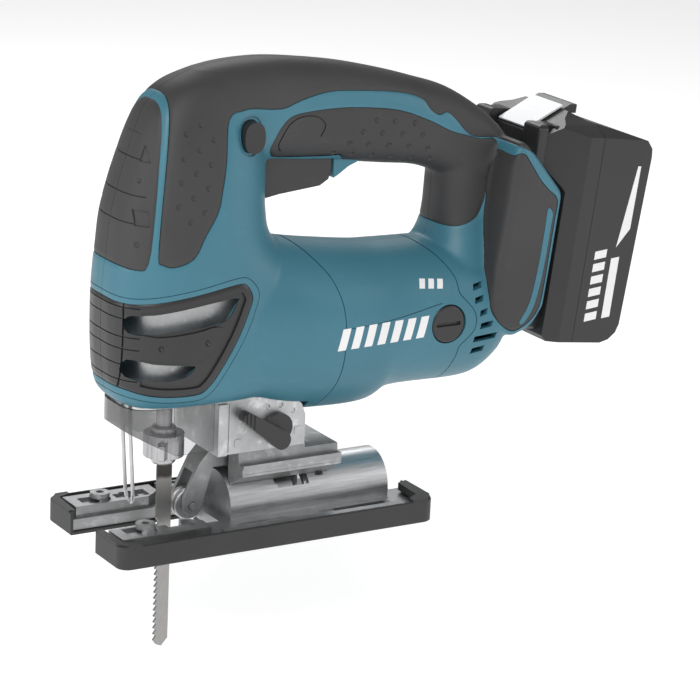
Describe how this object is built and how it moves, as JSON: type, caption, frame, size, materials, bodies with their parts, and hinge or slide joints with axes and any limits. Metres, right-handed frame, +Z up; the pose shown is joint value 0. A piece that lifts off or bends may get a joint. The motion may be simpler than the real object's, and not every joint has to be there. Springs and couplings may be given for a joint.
{
  "type": "cordless jigsaw",
  "caption": "Cordless orbital jigsaw with a D-handle, tilting cast sole, roller-guided blade and slide-on battery.",
  "frame": {"origin": "centre of the underside of the sole cover", "axes": "+X from the blade end to the battery, +Y to the tool's right, +Z up away from the work"},
  "size_m": [0.3032, 0.084, 0.2997],
  "materials": {
    "teal_shell": "satin",
    "soft_pad": "matte",
    "vent_plastic": "satin",
    "battery_plastic": "satin",
    "black_plastic": "satin",
    "cast_alloy": "cast",
    "ground_steel": "ground",
    "blade_steel": "rolled",
    "dark_metal": "satin",
    "motor_copper": "varnished",
    "motor_iron": "satin",
    "bronze": "turned",
    "fan_plastic": "matte",
    "clear_plastic": "clear",
    "label_white": "satin",
    "carbon": "matte",
    "cell_wrap": "satin"
  },
  "bodies": {
    "base": {"base_plate": "cast_alloy", "sole_cover": "black_plastic"},
    "carriage": {"clamp_plate": "ground_steel"},
    "rotor": {"armature": "motor_copper", "fan": "fan_plastic"},
    "gear": {"drive_gear": "ground_steel"},
    "striker": {"plunger": "ground_steel", "clamp_body": "ground_steel", "blade": "blade_steel"},
    "weight": {"counterweight": "ground_steel"},
    "sleeve": {"clamp_sleeve": "dark_metal"},
    "arm": {"roller_arm": "cast_alloy", "roller_pin": "ground_steel"},
    "roller": {"guide_roller": "ground_steel"},
    "orbit": {"orbital_lever": "dark_metal"},
    "shield": {"dust_cover": "clear_plastic"},
    "pull": {"trigger": "black_plastic"},
    "lock": {"lock_button": "black_plastic"},
    "battery": {"battery_front": "battery_plastic", "battery_rear": "battery_plastic", "cell_pack": "cell_wrap"},
    "catch": {"battery_latch": "battery_plastic", "battery_label": "label_white"},
    "tool": {"arm_pin": "ground_steel", "bearing_front": "ground_steel", "bearing_plate": "cast_alloy", "bearing_rear": "ground_steel", "brush_cap_left": "black_plastic", "brush_cap_right": "black_plastic", "brush_left": "carbon", "brush_right": "carbon", "clamp_bolt": "dark_metal", "end_bell": "black_plastic", "front_pad_left": "soft_pad", "front_pad_right": "soft_pad", "gear_housing": "cast_alloy", "gear_pin": "ground_steel", "guard_wire": "ground_steel", "guide_high": "cast_alloy", "guide_low": "bronze", "handle_inlay_left": "soft_pad", "handle_inlay_right": "soft_pad", "housing_left": "teal_shell", "housing_right": "teal_shell", "housing_screw_1": "ground_steel", "housing_screw_2": "ground_steel", "housing_screw_3": "ground_steel", "housing_screw_4": "ground_steel", "mount_pad_left": "soft_pad", "mount_pad_right": "soft_pad", "saddle": "cast_alloy", "side_grip_left": "soft_pad", "side_grip_right": "soft_pad", "stator": "motor_iron", "switch_unit": "black_plastic", "terminal_block": "bronze", "vent_cover_left": "vent_plastic", "vent_cover_right": "vent_plastic"}
  },
  "joints": [
    {"name": "base_shift", "type": "slide", "parent": "base", "child": "carriage", "axis": [1, 0, 0], "range_m": [-0.01, 0]},
    {"name": "bevel_tilt", "type": "hinge", "parent": "carriage", "child": "tool", "pos_m": [0, 0, 0.012], "axis": [1, 0, 0], "range_deg": [-45, 45]},
    {"name": "armature_spin", "type": "hinge", "parent": "tool", "child": "rotor", "pos_m": [0, 0, 0.102], "axis": [1, 0, 0], "continuous": true},
    {"name": "gear_spin", "type": "hinge", "parent": "tool", "child": "gear", "pos_m": [0, 0, 0.12465], "axis": [1, 0, 0], "continuous": true},
    {"name": "blade_stroke", "type": "slide", "parent": "tool", "child": "striker", "axis": [0, 0, 1], "range_m": [-0.013, 0.013]},
    {"name": "weight_slide", "type": "slide", "parent": "tool", "child": "weight", "axis": [0, 0, 1], "range_m": [-0.013, 0.013]},
    {"name": "sleeve_turn", "type": "hinge", "parent": "striker", "child": "sleeve", "pos_m": [-0.046, 0, 0.047], "axis": [0, 0, 1], "range_deg": [0, 40], "stiffness_Nm_per_rad": 0.06},
    {"name": "roller_arm_swing", "type": "hinge", "parent": "tool", "child": "arm", "pos_m": [-0.0095, 0, 0.037], "axis": [0, 1, 0], "range_deg": [-3, 0.8]},
    {"name": "roller_spin", "type": "hinge", "parent": "arm", "child": "roller", "pos_m": [-0.0323, 0, 0.014], "axis": [0, 1, 0], "continuous": true},
    {"name": "orbit_select", "type": "hinge", "parent": "tool", "child": "orbit", "pos_m": [0.005, -0.0223, 0.056], "axis": [0, 1, 0], "range_deg": [-45, 0]},
    {"name": "shield_lower", "type": "slide", "parent": "tool", "child": "shield", "axis": [0, 0, -1], "range_m": [0, 0.008]},
    {"name": "trigger_pull", "type": "slide", "parent": "tool", "child": "pull", "axis": [0, 0, 1], "range_m": [0, 0.006], "stiffness_N_per_m": 400, "springref_m": -0.003},
    {"name": "lock_press", "type": "slide", "parent": "tool", "child": "lock", "axis": [0, 1, 0], "range_m": [0, 0.004], "stiffness_N_per_m": 300, "springref_m": -0.002},
    {"name": "battery_slide", "type": "slide", "parent": "tool", "child": "battery", "axis": [0.1184, 0, 0.993], "range_m": [0, 0.09]},
    {"name": "latch_press", "type": "slide", "parent": "battery", "child": "catch", "axis": [0.993, 0, -0.1184], "range_m": [0, 0.004], "stiffness_N_per_m": 500, "springref_m": -0.002}
  ],
  "couplings": [
    {"joint": "gear_spin", "follows": "armature_spin", "ratio": -0.25},
    {"joint": "weight_slide", "follows": "blade_stroke", "ratio": -1}
  ]
}
